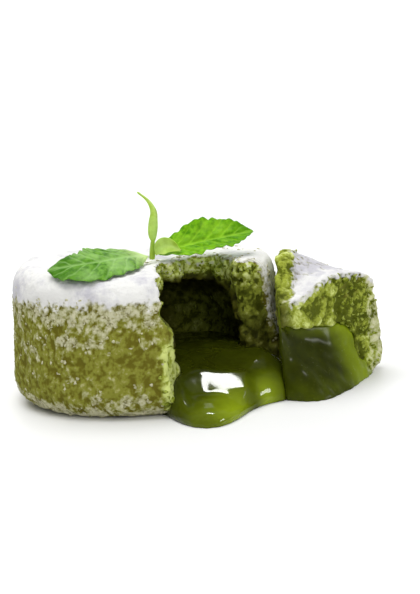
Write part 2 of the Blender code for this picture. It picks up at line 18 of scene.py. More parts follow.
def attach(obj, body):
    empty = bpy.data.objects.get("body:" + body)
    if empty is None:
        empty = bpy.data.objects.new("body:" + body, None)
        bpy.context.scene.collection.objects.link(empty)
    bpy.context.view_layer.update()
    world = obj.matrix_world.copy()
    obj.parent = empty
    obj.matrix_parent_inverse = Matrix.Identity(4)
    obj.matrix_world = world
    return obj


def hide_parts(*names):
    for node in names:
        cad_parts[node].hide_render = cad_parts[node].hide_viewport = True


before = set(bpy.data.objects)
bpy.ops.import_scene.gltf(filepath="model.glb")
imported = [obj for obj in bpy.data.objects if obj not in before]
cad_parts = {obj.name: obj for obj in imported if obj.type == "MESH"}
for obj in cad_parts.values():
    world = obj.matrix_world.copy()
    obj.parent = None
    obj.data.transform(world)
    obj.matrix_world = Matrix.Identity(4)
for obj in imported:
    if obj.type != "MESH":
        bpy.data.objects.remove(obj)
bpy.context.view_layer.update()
MM = 0.001
scene = bpy.context.scene
print("nodes:", ", ".join(sorted(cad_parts)))

# %% [markdown]
# ## Small helpers
#
# Node trees get long when every node is added by hand. One helper adds a node and fills its
# inputs: a plain value is set, a socket is linked. A few more add what comes up often.

# %% Helpers for node trees


def fill_in(tree, node, inputs):
    """Fill a node's inputs: a socket is linked, any other value is set."""
    for name, value in inputs.items():
        if isinstance(value, bpy.types.NodeSocket):
            tree.links.new(value, node.inputs[name])
        else:
            node.inputs[name].default_value = value


def add(tree, kind, inputs=None, **properties):
    """Add a node to a tree, set its properties and fill its inputs."""
    made = tree.nodes.new(kind)
    for name, value in properties.items():
        setattr(made, name, value)
    fill_in(tree, made, inputs or {})
    return made


def maths(tree, operation, *values):
    """One Math node. Like the helpers below, it returns the output socket."""
    return add(tree, "ShaderNodeMath", dict(enumerate(values)), operation=operation).outputs[0]


def product(tree, total, *factors):
    """Values multiplied, one after another."""
    for factor in factors:
        total = maths(tree, "MULTIPLY", total, factor)
    return total


def flipped(tree, value):
    """1 where a value is 0, and 0 where it is 1."""
    return maths(tree, "SUBTRACT", 1.0, value)


def scaled(tree, vector, scale):
    """A vector made longer or shorter."""
    inputs = {0: vector, "Scale": scale}
    return add(tree, "ShaderNodeVectorMath", inputs, operation="SCALE").outputs[0]


def mix(tree, share, first, second):
    """Two colours mixed by a share from 0 to 1. They are inputs 6 and 7 of the Mix node."""
    inputs = {0: share}
    for number, colour in ((6, first), (7, second)):
        inputs[number] = (*colour, 1.0) if isinstance(colour, tuple) else colour
    return add(tree, "ShaderNodeMix", inputs, data_type="RGBA").outputs[2]


def step_up(tree, value, low, high):
    """Ease from 0 to 1 while value goes from low to high."""
    inputs = {"Value": value, "From Min": low, "From Max": high}
    made = add(tree, "ShaderNodeMapRange", inputs, interpolation_type="SMOOTHSTEP")
    return made.outputs["Result"]


def stored(tree, name):
    """A number stored for each point, read by name in a material."""
    return add(tree, "ShaderNodeAttribute", attribute_name=name).outputs["Fac"]


def bump_of(tree, height, strength, distance):
    """The normal of a fine relief that only bends the light."""
    inputs = {"Height": height, "Strength": strength, "Distance": distance}
    return add(tree, "ShaderNodeBump", inputs).outputs[0]


def material(name):
    """A new material, its tree, its Principled shader, and the place on the piece."""
    made = bpy.data.materials.new(name)
    made.use_nodes = True
    tree = made.node_tree
    place = add(tree, "ShaderNodeTexCoord").outputs["Object"]
    return made, tree, tree.nodes["Principled BSDF"], place


# %% [markdown]
# The other helpers read and move a mesh's points, store a number for each of them, and bake
# live modifiers into a plain mesh, which is what rides on the frame in the end.

# %% Helpers for meshes


def new_thing(name, mesh):
    """An object in the scene that holds a mesh."""
    thing = bpy.data.objects.new(name, mesh)
    scene.collection.objects.link(thing)
    return thing


def dress(thing, look):
    """Give an object one material and smooth shading."""
    mesh = thing.data
    mesh.materials.clear()
    mesh.materials.append(look)
    mesh.polygons.foreach_set("use_smooth", [True] * len(mesh.polygons))


def bake(thing):
    """Turn what the live modifiers make into the object's own plain mesh."""
    graph = bpy.context.evaluated_depsgraph_get()
    mesh = bpy.data.meshes.new_from_object(
        thing.evaluated_get(graph), preserve_all_data_layers=True, depsgraph=graph)
    thing.modifiers.clear()
    thing.data = mesh


def rows_of(items, name):
    """One vector of each item, as rows of x, y, z."""
    flat = np.zeros(len(items) * 3, np.float32)
    items.foreach_get(name, flat)
    return flat.reshape(-1, 3).astype(float)


def points_of(thing):
    """Every vertex of an object in millimetres."""
    return rows_of(thing.data.vertices, "co") / MM


def normals_of(thing):
    """Every vertex normal of an object."""
    return rows_of(thing.data.vertex_normals, "vector")


def put_points(thing, points):
    """Set every vertex of an object from rows of x, y, z in millimetres."""
    thing.data.vertices.foreach_set("co", (points * MM).astype(np.float32).ravel())
    thing.data.update()


def raise_to_table(thing):
    """Lift whatever lies under the table up to it; returns the points."""
    raised = points_of(thing)
    raised[:, 2] = np.maximum(raised[:, 2], 0.0)
    put_points(thing, raised)
    return raised


def store(thing, name, values):
    """Keep one number for each vertex, where nodes can read it by name."""
    attribute = thing.data.attributes.new(name, "FLOAT", "POINT")
    attribute.data.foreach_set("value", np.asarray(values, np.float32))


def ease(values, low, high):
    """Ease from 0 to 1 while values go from low to high."""
    share = np.clip((values - low) / (high - low), 0.0, 1.0)
    return share * share * (3.0 - 2.0 * share)


def fade(values, low, high):
    """Ease from 1 to 0 while values go from low to high."""
    return 1.0 - ease(values, low, high)


# %% [markdown]
# ## Finer copies of the solids
#
# A node's mesh is loose triangles a few millimetres long. To carry crumbs it needs points about
# half a millimetre apart. Subdividing would keep the long thin triangles that the cuts left. A
# voxel remesh rebuilds the skin from even little squares and rounds the cut edges a little.

# %% Copy a node and remesh it


def merged_copy(node, name):
    """A copy of a frame node with its loose triangles joined into one skin."""
    shape = bmesh.new()
    shape.from_mesh(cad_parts[node].data)
    bmesh.ops.remove_doubles(shape, verts=shape.verts, dist=0.01 * MM)
    mesh = bpy.data.meshes.new(name)
    shape.to_mesh(mesh)
    shape.free()
    return new_thing(name, mesh)


def fine_copy(node, name, voxel):
    """A copy of a frame node rebuilt from even squares, voxel millimetres wide."""
    thing = merged_copy(node, name)
    remesh = thing.modifiers.new("even squares", "REMESH")
    remesh.mode = "VOXEL"
    remesh.voxel_size = voxel * MM
    remesh.use_smooth_shade = True
    bake(thing)
    print(name, "has", len(thing.data.polygons), "squares")
    return thing


CAKE_VOXEL = 0.53
SLICE_VOXEL = 0.4
cake = fine_copy("cake", "cake_sponge", CAKE_VOXEL)
wedge = fine_copy("slice", "slice_sponge", SLICE_VOXEL)

# %% [markdown]
# ## Where the crust ends and the crumb begins
#
# One body of sponge shows four surfaces: sugared top, baked crust, torn crumb and the wet lining
# of the hollow. Cutting the mesh apart would leave seams. A number for each vertex does it
# without any: 1 where a surface is, 0 where it isn't. The cake was baked as a drum, so what lies
# near the drum's skin is crust and what lies deeper was cut. The hollow is an oval in the drum,
# and crumb close to it has soaked up filling. The number for wet crumb also paints shade: it
# darkens the hollow, less at its right back and high up, and the roof's torn face below its top.

# %% How to measure a drum with a hollow
CAKE_RADIUS = 37.5
CAKE_HEIGHT = 35.5
WALL_LEAN = 2.1
LEFT_IS_HIGHER = 0.047
BACK_IS_LOWER = 0.03
TOP_ROUNDING = 5.0
FOOT_ROUNDING = 6.5
SKIN_FADE = 1.5
HOLLOW_RADIUS = 28.0
HOLLOW_MIDDLE = 17.65
HOLLOW_HALF_HEIGHT = 12.65
HOLLOW_POWER = 2.9


def wander(points, cell, seed):
    """A smooth random number from about -1 to 1 at each point, as a sum of plane waves."""
    draw = np.random.default_rng(seed)
    total = np.zeros(len(points))
    waves = 14
    for _ in range(waves):
        heading = draw.normal(size=3)
        heading *= draw.uniform(0.6, 1.6) / np.linalg.norm(heading)
        total += np.sin(points @ heading * (2 * math.pi / cell) + draw.uniform(0, 2 * math.pi))
    return total / math.sqrt(waves / 2) / 2


def drum_depth(points):
    """How deep each point lies under the drum's skin, in millimetres."""
    x, y, z = points.T
    left, back = ease(-x, 8, 30), ease(y, 0, 25)
    height = z / (1.0 + LEFT_IS_HIGHER * left - BACK_IS_LOWER * back * (1.0 - left))
    from_top = CAKE_HEIGHT - height
    from_wall = CAKE_RADIUS - WALL_LEAN * height / CAKE_HEIGHT - np.hypot(x, y)
    depth = np.minimum(from_wall, np.minimum(height, from_top))
    for away, radius in ((from_top, TOP_ROUNDING), (height, FOOT_ROUNDING)):
        rounded = radius - np.hypot(radius - from_wall, radius - away)
        corner = (from_wall < radius) & (away < radius)
        depth = np.where(corner, np.minimum(depth, rounded), depth)
    return depth


def hollow_place(points):
    """1 on the oval of the hollow, more in the sponge round it."""
    reach = np.hypot(points[:, 0], points[:, 1]) / HOLLOW_RADIUS
    lift = np.abs(points[:, 2] - HOLLOW_MIDDLE) / HOLLOW_HALF_HEIGHT
    return (reach ** HOLLOW_POWER + lift ** HOLLOW_POWER) ** (1 / HOLLOW_POWER)


def drum_facing(points, facing):
    """How far each face looks out of the drum: 1 straight out, 0 sideways."""
    x, y, z = points.T
    reach = np.hypot(x, y)
    wall = np.exp(-(CAKE_RADIUS - reach) / SKIN_FADE)
    top = np.exp(-(CAKE_HEIGHT - z) / SKIN_FADE)
    foot = np.exp(-z / SKIN_FADE)
    out = np.column_stack([wall * x / reach, wall * y / reach, top - foot])
    out /= np.linalg.norm(out, axis=1)[:, None] + 1e-9
    return (out * facing).sum(axis=1)


def distance_to_line(points, corners):
    """Distance in plan from each point to a broken line, in millimetres."""
    nearest = np.full(len(points), 1e9)
    for start, end in zip(np.array(corners[:-1], float), np.array(corners[1:], float)):
        run = end - start
        share = np.clip(((points[:, :2] - start) @ run) / (run @ run), 0.0, 1.0)
        away = points[:, :2] - start - share[:, None] * run
        nearest = np.minimum(nearest, np.hypot(away[:, 0], away[:, 1]))
    return nearest


# %% [markdown]
# With these, each number is a product of soft steps. Three more say where the crumb is full of
# pores, how soft it is, and how pale: creamy lumps stand out on the roof's torn face. The pale
# number also paints light: the broken corner at the left cut and the top of the roof's torn
# face are made paler as painted light. Noise in each border keeps it from running straight.

# %% Measure the cake's surfaces
CREAM_MEAN = 0.42
ROOF_EDGE = ((38.5, -11), (27, -16.3), (23, -10.6), (19.4, -2.6), (12.5, -1.6), (8, -8.4),
             (3, -8))

points = points_of(cake)
x, y, z = points.T
crust = fade(drum_depth(points) + 0.4 * wander(points, 3, 1), 0.9, 2)
crust *= ease(drum_facing(points, normals_of(cake)), 0.3, 0.62)
broken_corner = ease(x + 0.7 * wander(points, 3.5, 14), 3, 4.8) * ease(-y, 22, 26)
broken_corner *= fade(z + 1.2 * wander(points, 4, 15), 18.5, 21)
crust *= 1.0 - broken_corner
beyond_hollow = hollow_place(points) + 0.02 * wander(points, 2.5, 9)
lining = fade(beyond_hollow, 1.04, 1.1)
# Wet crumb near the hollow, and painted shade: it darkens the roof's torn face below its top and
# the right wall, more towards its foot.
soaked_and_shaded = fade(beyond_hollow, 1.02, 1.24) * ease(z, 17, 24)
right_wall = ease(x, 20, 25)
soaked_and_shaded = np.maximum(soaked_and_shaded, right_wall * (0.95 - 0.5 * ease(z, 14, 27)))
# Painted shade in the hollow: it is darkened less at its right back and less high up.
hollow_shade = 1.0 - 0.8 * ease(x, 2, 14) * ease(y, -6, 4)
hollow_shade *= 1.0 - 0.7 * ease(z, 23.5, 27)
wet_and_shade = (1.0 - crust) * np.maximum(lining * hollow_shade, soaked_and_shaded * fade(z, 30.5, 33))
pores = np.clip(0.25 + 0.75 * right_wall + 0.65 * ease(z, 27, 30) + 0.4 * broken_corner, 0, 1)
soft = 0.35 * wet_and_shade + 0.5 * lining * ease(y, -6, 4)
# Painted light: the broken corner and the top of the roof's torn face are made paler.
tone = 0.5 + 0.8 * broken_corner + 0.8 * ease(z, 29, 33) * (1.0 - crust)
cream_lumps = ease(wander(points, 2.2, 26), -0.15, 0.4)
tone += 0.9 * (cream_lumps - CREAM_MEAN) * ease(z, 27.5, 30.5) * (1.0 - crust)
print("cake crust share", round(float(crust.mean()), 2), "wet share", round(float(wet_and_shade.mean()), 2))

# %% [markdown]
# The slice sank and tilted, but directions still tell its surfaces apart. Seen from its tip, the
# crust faces straight away, the cut faces look sideways, and the sugared top looks up. Distances
# along and from its two cut faces help too. The lip is the edge of the hollow in the torn right
# face. Just above it, towards the outer rim and where faces look up, the crumb is painted paler
# as painted light. The slice's wet number is only painted shadow, by the left cut face low down.

# %% Measure the slice's surfaces
SLICE_TIP = np.array([34.6, -29.0])
RIGHT_FACE = math.radians(44.5)
LEFT_FACE = RIGHT_FACE + math.radians(37.0)
LIP_PLACES = 0, 5, 11, 20, 26, 30, 35
LIP_HEIGHTS = 21, 20, 16.5, 15.5, 16, 13, 5.0


def along_cut(points):
    """How far each point lies from the slice's tip, along its torn right face."""
    return (points[:, :2] - SLICE_TIP) @ np.array([math.cos(RIGHT_FACE), math.sin(RIGHT_FACE)])


wedge_points = points_of(wedge)
wedge_z = wedge_points[:, 2]
wedge_facing = normals_of(wedge)
from_tip = wedge_points[:, :2] - SLICE_TIP
tip_reach = np.hypot(from_tip[:, 0], from_tip[:, 1])
along_right = along_cut(wedge_points)
from_right = from_tip @ np.array([-math.sin(RIGHT_FACE), math.cos(RIGHT_FACE)])
from_left = from_tip @ np.array([math.sin(LEFT_FACE), -math.cos(LEFT_FACE)])
outward = (wedge_facing[:, :2] * from_tip).sum(axis=1) / np.maximum(tip_reach, 0.1)
wedge_side = ease(outward, 0.3, 0.6) * ease(tip_reach, 32, 34)
rim_noise = 0.2 * wander(wedge_points, 2, 23)
wedge_up = ease(wedge_facing[:, 2] + rim_noise, 0.15, 0.7) * ease(wedge_z, 21.5, 23)
wedge_top = wedge_up * ease(from_left + 0.8 * wander(wedge_points, 3, 6), 2.4, 3.8)
wedge_crust = np.maximum(wedge_side, wedge_top)
above_lip = wedge_z - np.interp(along_right, LIP_PLACES, LIP_HEIGHTS)
smooth_lip = fade(above_lip, 0.8, 4.5) * fade(along_right, 22, 27)
# Painted shadow: the crumb by the left cut face darkens low down, in the gap beside the cake.
shaded = fade(from_left, 1, 4) * fade(wedge_z, 23, 30)
wedge_painted_shade = (1.0 - wedge_crust) * 0.85 * shaded
wedge_pores = ease(along_right + 1.5 * wander(wedge_points, 5, 16), 21, 26)
wedge_pores *= 1.0 - 0.6 * ease(tip_reach, 34.5, 37)
# Painted light: paler above the lip, towards the outer rim and on faces that look up; the rest is
# random tone and darker pores.
wedge_tone_and_light = 0.38 + 0.4 * smooth_lip + 0.2 * ease(tip_reach, 33, 37) - 0.12 * wedge_pores
wedge_tone_and_light += 0.35 * wander(wedge_points, 9, 17) + 0.15 * wedge_up
print("slice crust share", round(float(wedge_crust.mean()), 2))

# %% [markdown]
# ## Icing sugar
#
# The sugar was sifted on from above. It lies thick on the top, thins out a few millimetres down
# the wall, and only dusts the rough spots below. The thick part is one number and raises the
# surface. The dust is another, and the material breaks it up into blotches. There is more under
# the rim and at the wall's foot, and the roof's creamy lumps hold some of both. A third number
# makes the sugar lavender grey: in random patches, and as painted shade on the very top of the
# cake and at the back of the slice's sugared top. On the strip of crust beside the slice, sugar
# and cream dust also stand in as painted light where the slice shades it.

# %% Where the sugar lies on the cake
SUGAR_LINE = 29.4
GATHERED_MEAN = 0.4


def gathered_spots(points):
    """1 in the spots where dust gathers, 0 between them."""
    return ease(wander(points, 4.5, 18), -0.2, 0.6)


ragged = 1.3 * wander(points, 6, 2) + 0.8 * wander(points, 2, 3)
sugar = crust * ease(z + ragged, SUGAR_LINE - 3.2, SUGAR_LINE + 3)
near_edge = fade(distance_to_line(points, ROOF_EDGE), 1, 6)
on_right = ease(x, 14, 24) * ease(wander(points, 2.4, 21), -0.3, 0.5)
sugar *= 1.0 - np.maximum(0.42 * near_edge, 0.17 * on_right)
under_rim = 0.62 * ease(z, 15, 27) + 0.6 * ease(z, 24.5, 28.5)
at_foot = fade(z, 0, 8)
patchy = 0.2 * wander(points, 11, 4)
gathered = gathered_spots(points)
dust = 0.28 + 0.5 * under_rim + 0.6 * at_foot + patchy + 0.35 * (gathered - GATHERED_MEAN)
roof_dust = (0.1 + 0.8 * cream_lumps) * ease(z, 29.5, 33)
dust = np.where(crust > 0.5, np.clip(dust, 0, 1), roof_dust * (1.0 - right_wall))
# Sugar and cream dust on the strip of crust beside the slice; here they also stand in as painted
# light where the slice shades it.
right_side = crust * ease(x, 30, 33) * ease(-y, 2, 8)
right_side *= 0.9 * ease(z + 2.5 * ragged, 9, 21) * (1.0 - 0.35 * on_right)
on_roof = 0.45 * cream_lumps * (1.0 - crust) * ease(z + 0.8 * ragged, 30, 33.5)
sugar = np.maximum(sugar, np.maximum(0.75 * right_side, on_roof))
dust = np.maximum(dust, right_side) * (1.0 - 0.6 * broken_corner)
# Lavender grey in random patches, and painted shade on the very top of the cake.
grey_and_shade = 0.25 + 0.45 * wander(points, 12, 10) + 0.1 * ease(z, 33.5, 35.3)
grey_and_shade = np.clip(grey_and_shade - 0.35 * ease(x, 12, 20), 0, 1)

# %% [markdown]
# On the slice some sugar has run over the rim. It thins out with the distance from the nearest
# point of the sugared top, which a KD tree finds quickly.

# %% Where the sugar lies on the slice


def distance_to_points(points, others):
    """Distance from each point to the nearest of the others, in millimetres."""
    places = KDTree(len(others))
    for number, place in enumerate(others):
        places.insert(place, number)
    places.balance()
    return np.array([places.find(place)[2] for place in points])


spill = 0.18 * wander(wedge_points, 3, 5) + 0.12 * wander(wedge_points, 1.3, 22)
wedge_sugar = wedge_top * ease(wedge_facing[:, 2] + spill, 0.35, 0.8)
thinned = ease(wander(wedge_points, 3.2, 20), -0.1, 0.7) * ease(from_right, 3, 6)
wedge_sugar *= 1.0 - 0.62 * thinned
from_sugar = distance_to_points(wedge_points, wedge_points[wedge_top > 0.9])
near_rim = fade(from_sugar + wander(wedge_points, 1.6, 24), 0.2, 2.6)
wedge_sugar = np.maximum(0.9 * wedge_sugar, 0.62 * near_rim * ease(from_left, 0.5, 3))
side_dust = 0.3 + 0.3 * ease(wedge_z, 13, 25) + 0.5 * fade(wedge_z, 0, 7)
side_dust += 0.35 * (gathered_spots(wedge_points) - GATHERED_MEAN)
torn_dust = 0.75 * ease(tip_reach, 33, 37)
wedge_dust = torn_dust + wedge_side * (side_dust - torn_dust) + 0.7 * near_rim
wedge_dust = np.clip(wedge_dust, 0, 1)
# Painted shade: the back of the slice's sugared top, away from its right face, is greyer.
wedge_grey_and_shade = 0.5 + 0.5 * ease(from_right + 1.2 * wander(wedge_points, 6, 11), 2.5, 6.5)
print("mean sugar", round(float(sugar.mean()), 2), "and", round(float(wedge_sugar.mean()), 2))

# %% Store the numbers on the points
for name, on_cake, on_slice in (
    ("crust", crust, wedge_crust), ("wet_and_shade", wet_and_shade, wedge_painted_shade), ("sugar", sugar, wedge_sugar),
    ("dust", dust, wedge_dust), ("grey_and_shade", grey_and_shade, wedge_grey_and_shade), ("pores", pores, wedge_pores),
    ("tone", tone, np.clip(wedge_tone_and_light, 0, 1)), ("soft", soft, 0.35 * wedge_painted_shade),
):
    store(cake, name, on_cake)
    store(wedge, name, on_slice)
print("stored for", len(crust), "points of the cake and", len(wedge_crust), "of the slice")

# %% [markdown]
# ## The sponge's colours
#
# Green-tea sponge is an olive green, and its crumb a bright yellow green. Sugar is white,
# lavender grey in patches and as painted shade, and cream where it is thin. One material paints
# them all. It reads the stored numbers to know where it is, a number called crown to know whether
# it is on a lump or in a pit, and noise to break each colour up finely. The pits and hollows of
# crust and crumb are painted darker and browner as painted shade, and the lumps paler as painted
# light.

# %% The sponge material
CRUST_COLOURS = (0.125, 0.112, 0.01), (0.225, 0.232, 0.032), (0.42, 0.41, 0.15)
CRUMB_COLOURS = (0.09, 0.11, 0.006), (0.3, 0.35, 0.04), (0.62, 0.69, 0.22)
# Colours of wet crumb, also used as painted shade in the hollow and on the slice.
WET_AND_SHADE_COLOURS = (0.026, 0.027, 0.002), (0.06, 0.061, 0.005), (0.15, 0.15, 0.024)
DUST_CREAM = (0.62, 0.6, 0.43)
SUGAR_WHITE = (0.78, 0.775, 0.745)
SUGAR_GREY_SHADE = (0.53, 0.52, 0.56)


def noise(tree, place, width, detail=2.0, roughness=0.5):
    """Noise about width metres wide, from 0 to 1."""
    inputs = {"Vector": place, "Scale": 1.0 / width, "Detail": detail, "Roughness": roughness}
    return add(tree, "ShaderNodeTexNoise", inputs).outputs[0]


def weighted(tree, *pairs):
    """The sum of sockets, each times its weight."""
    total = 0.0
    for socket, weight in pairs:
        total = maths(tree, "MULTIPLY_ADD", socket, weight, total)
    return total


def three_tones(tree, value, tones):
    """Dark, middle and pale tone as a value goes from 0 to 1."""
    lower = mix(tree, step_up(tree, value, 0.05, 0.5), tones[0], tones[1])
    return mix(tree, step_up(tree, value, 0.5, 1.0), lower, tones[2])


def sponge_material():
    """Crust, crumb, wet lining with painted shade, and icing sugar in one material."""
    made, tree, shader, place = material("green_tea_sponge_look")
    crust_here, wet_and_shade_here, sugar_here, dust_here, grey_and_shade_here, crown_here, tone_and_light_here = (
        stored(tree, name) for name in ("crust", "wet_and_shade", "sugar", "dust", "grey_and_shade", "crown", "tone"))
    broad = noise(tree, place, 7 * MM, 3.0)
    middling = noise(tree, place, 2.4 * MM, 3.0, 0.55)
    fine = noise(tree, place, 0.9 * MM, 3.0, 0.6)

    # Painted shade and light: the crown makes pits and hollows darker and lumps paler; noise adds
    # random tone.
    height = weighted(tree, (crown_here, 0.95), (fine, 1.2), (middling, 0.4), (broad, 0.35),
                      (1.0, -0.95))
    baked = three_tones(tree, height, CRUST_COLOURS)
    # The pale number includes painted light on the broken corner, the roof's top and the slice.
    toned = weighted(tree, (height, 1.1), (tone_and_light_here, 0.8), (1.0, -0.45))
    crumb = three_tones(tree, toned, CRUMB_COLOURS)
    soaked_and_shaded = three_tones(tree, height, WET_AND_SHADE_COLOURS)
    inside = mix(tree, wet_and_shade_here, crumb, soaked_and_shaded)
    sponge = mix(tree, crust_here, inside, baked)

    blotch = weighted(tree, (middling, 0.35), (crown_here, 0.45), (fine, 0.8), (dust_here, 0.6))
    dusted = product(tree, step_up(tree, blotch, 0.98, 1.4), 0.8)
    layer = weighted(tree, (sugar_here, 1.0), (middling, 0.35), (crown_here, 0.3), (fine, 0.55))
    layered = step_up(tree, layer, 0.85, 1.3)
    grey = weighted(tree, (grey_and_shade_here, 0.7), (middling, 0.9), (fine, 0.6), (crown_here, -0.3))
    grey = step_up(tree, grey, 0.65, 1.45)
    white = mix(tree, grey, SUGAR_WHITE, SUGAR_GREY_SHADE)
    colour = mix(tree, dusted, sponge, DUST_CREAM)
    colour = mix(tree, layered, colour, white)

    grain = weighted(tree, (noise(tree, place, 0.4 * MM, 2.0, 0.6), 0.4), (fine, 1.0))
    fill_in(tree, shader, {
        "Base Color": colour,
        "Roughness": maths(tree, "MULTIPLY_ADD", wet_and_shade_here, -0.35, 0.9),
        "Specular IOR Level": 0.12,
        "Normal": bump_of(tree, grain, 0.6, 0.45 * MM)})
    return made


sponge_look = sponge_material()
print("sponge material has", len(sponge_look.node_tree.nodes), "nodes")

# %% [markdown]
# ## Crumbs and pores
#
# A torn face is a heap of soft lumps with dark pits between them, a crust is finely lumpy, and
# sugar is a soft layer. Geometry Nodes move the points by that rule: Voronoi cells make round
# lumps, noise makes pits and grain, and each is multiplied by the number that says where it
# belongs. Real lumps throw shadows and show on the outline, as a faked bump can't. The lumps'
# height is stored as crown, so that the material can paint shade in the pits and light on lumps.

# %% Parts of a relief tree


def named(tree, name):
    """A stored number, read by name inside Geometry Nodes."""
    made = add(tree, "GeometryNodeInputNamedAttribute", {"Name": name}, data_type="FLOAT")
    return made.outputs[0]


def tree_with_inputs(name, sizes):
    """A Geometry Nodes tree with named sizes, its inputs, its end, and the place of a point."""
    tree = bpy.data.node_groups.new(name, "GeometryNodeTree")
    tree.is_modifier = True
    face = tree.interface
    face.new_socket("Geometry", in_out="INPUT", socket_type="NodeSocketGeometry")
    for label, value in sizes.items():
        socket = face.new_socket(label, in_out="INPUT", socket_type="NodeSocketFloat")
        socket.default_value = value
    face.new_socket("Material", in_out="INPUT", socket_type="NodeSocketMaterial")
    face.new_socket("Geometry", in_out="OUTPUT", socket_type="NodeSocketGeometry")
    given, result = add(tree, "NodeGroupInput").outputs, add(tree, "NodeGroupOutput")
    return tree, given, result, add(tree, "GeometryNodeInputPosition").outputs[0]


def finish_tree(tree, shape, given, result):
    """Smooth shading and the material: the end of every tree."""
    smooth = add(tree, "GeometryNodeSetShadeSmooth", {"Geometry": shape})
    inputs = {"Geometry": smooth.outputs[0], "Material": given["Material"]}
    painted = add(tree, "GeometryNodeSetMaterial", inputs)
    tree.links.new(painted.outputs[0], result.inputs["Geometry"])


def run_tree(thing, tree, look, **sizes):
    """Put a tree on an object with its sizes and material, and bake the result."""
    live = thing.modifiers.new(tree.name, "NODES")
    live.node_group = tree
    wanted = {name.replace("_", " ").capitalize(): value for name, value in sizes.items()}
    wanted["Material"] = look
    for item in tree.interface.items_tree:
        if item.in_out == "INPUT" and item.name in wanted:
            live[item.identifier] = wanted[item.name]
    bake(thing)


def lumps_of(tree, place, width):
    """Round lumps about width wide: near 1 on a lump's crown, 0 or less between lumps."""
    scale = maths(tree, "DIVIDE", 1.0, width)
    inputs = {"Vector": place, "Scale": scale, "Smoothness": 0.25}
    cells = add(tree, "ShaderNodeTexVoronoi", inputs, feature="SMOOTH_F1")
    squared = maths(tree, "POWER", cells.outputs["Distance"], 2.0)
    return maths(tree, "MULTIPLY_ADD", squared, -2.0, 1.0)


def noise_of(tree, place, width, detail):
    """Noise about width wide, from -0.5 to 0.5. The width may be a socket."""
    scale = maths(tree, "DIVIDE", 1.0, width)
    made = add(tree, "ShaderNodeTexNoise", {"Vector": place, "Scale": scale, "Detail": detail})
    return maths(tree, "SUBTRACT", made.outputs[0], 0.5)


# %% The sponge's relief


def relief_tree():
    """Move each point along its normal by what its surface asks for."""
    tree, given, result, place = tree_with_inputs("sponge relief", {
        "Lump width": 2.3 * MM, "Lump height": 0.55 * MM, "Pore width": 1.6 * MM,
        "Pore depth": 0.9 * MM, "Crust lump width": 1.8 * MM, "Crust lump height": 0.38 * MM,
        "Sugar thickness": 0.4 * MM})
    crust_here, soft_here, sugar_here, pores_here = (
        named(tree, name) for name in ("crust", "soft", "sugar", "pores"))
    torn_here = product(tree, flipped(tree, crust_here), flipped(tree, soft_here))

    large = lumps_of(tree, place, given["Lump width"])
    small = lumps_of(tree, place, product(tree, given["Lump width"], 0.45))
    uneven = noise_of(tree, place, 4 * MM, 3.0)
    heap = weighted(tree, (large, 1.0), (small, 0.25), (uneven, 1.6))
    pits = step_up(tree, noise_of(tree, place, given["Pore width"], 3.0), 0.04, 0.17)
    pits = product(tree, pits, pores_here)
    torn = product(tree, heap, given["Lump height"])
    torn = maths(tree, "SUBTRACT", torn, product(tree, pits, given["Pore depth"]))
    torn = product(tree, torn, torn_here)
    torn_crown = weighted(tree, (heap, 0.45), (pits, -1.2), (1.0, 0.15))

    knobs = lumps_of(tree, place, given["Crust lump width"])
    grain = noise_of(tree, place, given["Crust lump width"], 4.0)
    baked = weighted(tree, (knobs, 0.6), (grain, 2.4))
    bare = maths(tree, "MULTIPLY_ADD", sugar_here, -0.5, 1.0)
    lift = product(tree, baked, given["Crust lump height"], bare, crust_here)
    crust_crown = weighted(tree, (knobs, 0.45), (grain, 1.1), (1.0, 0.18))

    layer = maths(tree, "ADD", noise_of(tree, place, 2.5 * MM, 3.0), 0.6)
    layer = product(tree, layer, sugar_here, given["Sugar thickness"])

    rise = maths(tree, "ADD", maths(tree, "ADD", torn, lift), layer)
    push = scaled(tree, add(tree, "GeometryNodeInputNormal").outputs[0], rise)
    crown = add(tree, "ShaderNodeMix", {0: crust_here, 2: torn_crown, 3: crust_crown}).outputs[0]
    inputs = {"Geometry": given["Geometry"], "Name": "crown", "Value": crown}
    kept = add(tree, "GeometryNodeStoreNamedAttribute", inputs, data_type="FLOAT")
    moved = add(tree, "GeometryNodeSetPosition", {"Geometry": kept.outputs[0], "Offset": push})
    finish_tree(tree, moved.outputs[0], given, result)
    return tree


sponge_relief = relief_tree()
run_tree(cake, sponge_relief, sponge_look)
run_tree(wedge, sponge_relief, sponge_look, lump_height=0.7 * MM)
for thing in (cake, wedge):
    settled = raise_to_table(thing)
    print(thing.name, "spans", settled.min(axis=0).round(1), settled.max(axis=0).round(1))

# %% [markdown]
# ## Loose crumbs and clumps of sugar
#
# Sponge sheds crumbs where it is torn, and sifted sugar gathers in clumps on rough crust. Both
# are one rule: scatter points over the skin, thicker where a stored number is higher, lay a
# small flattened lump on each, its size at random, and shake its corners so that none stays
# round. The broken corner at the foot of the cut sheds larger ones.

# %% The scatter tree


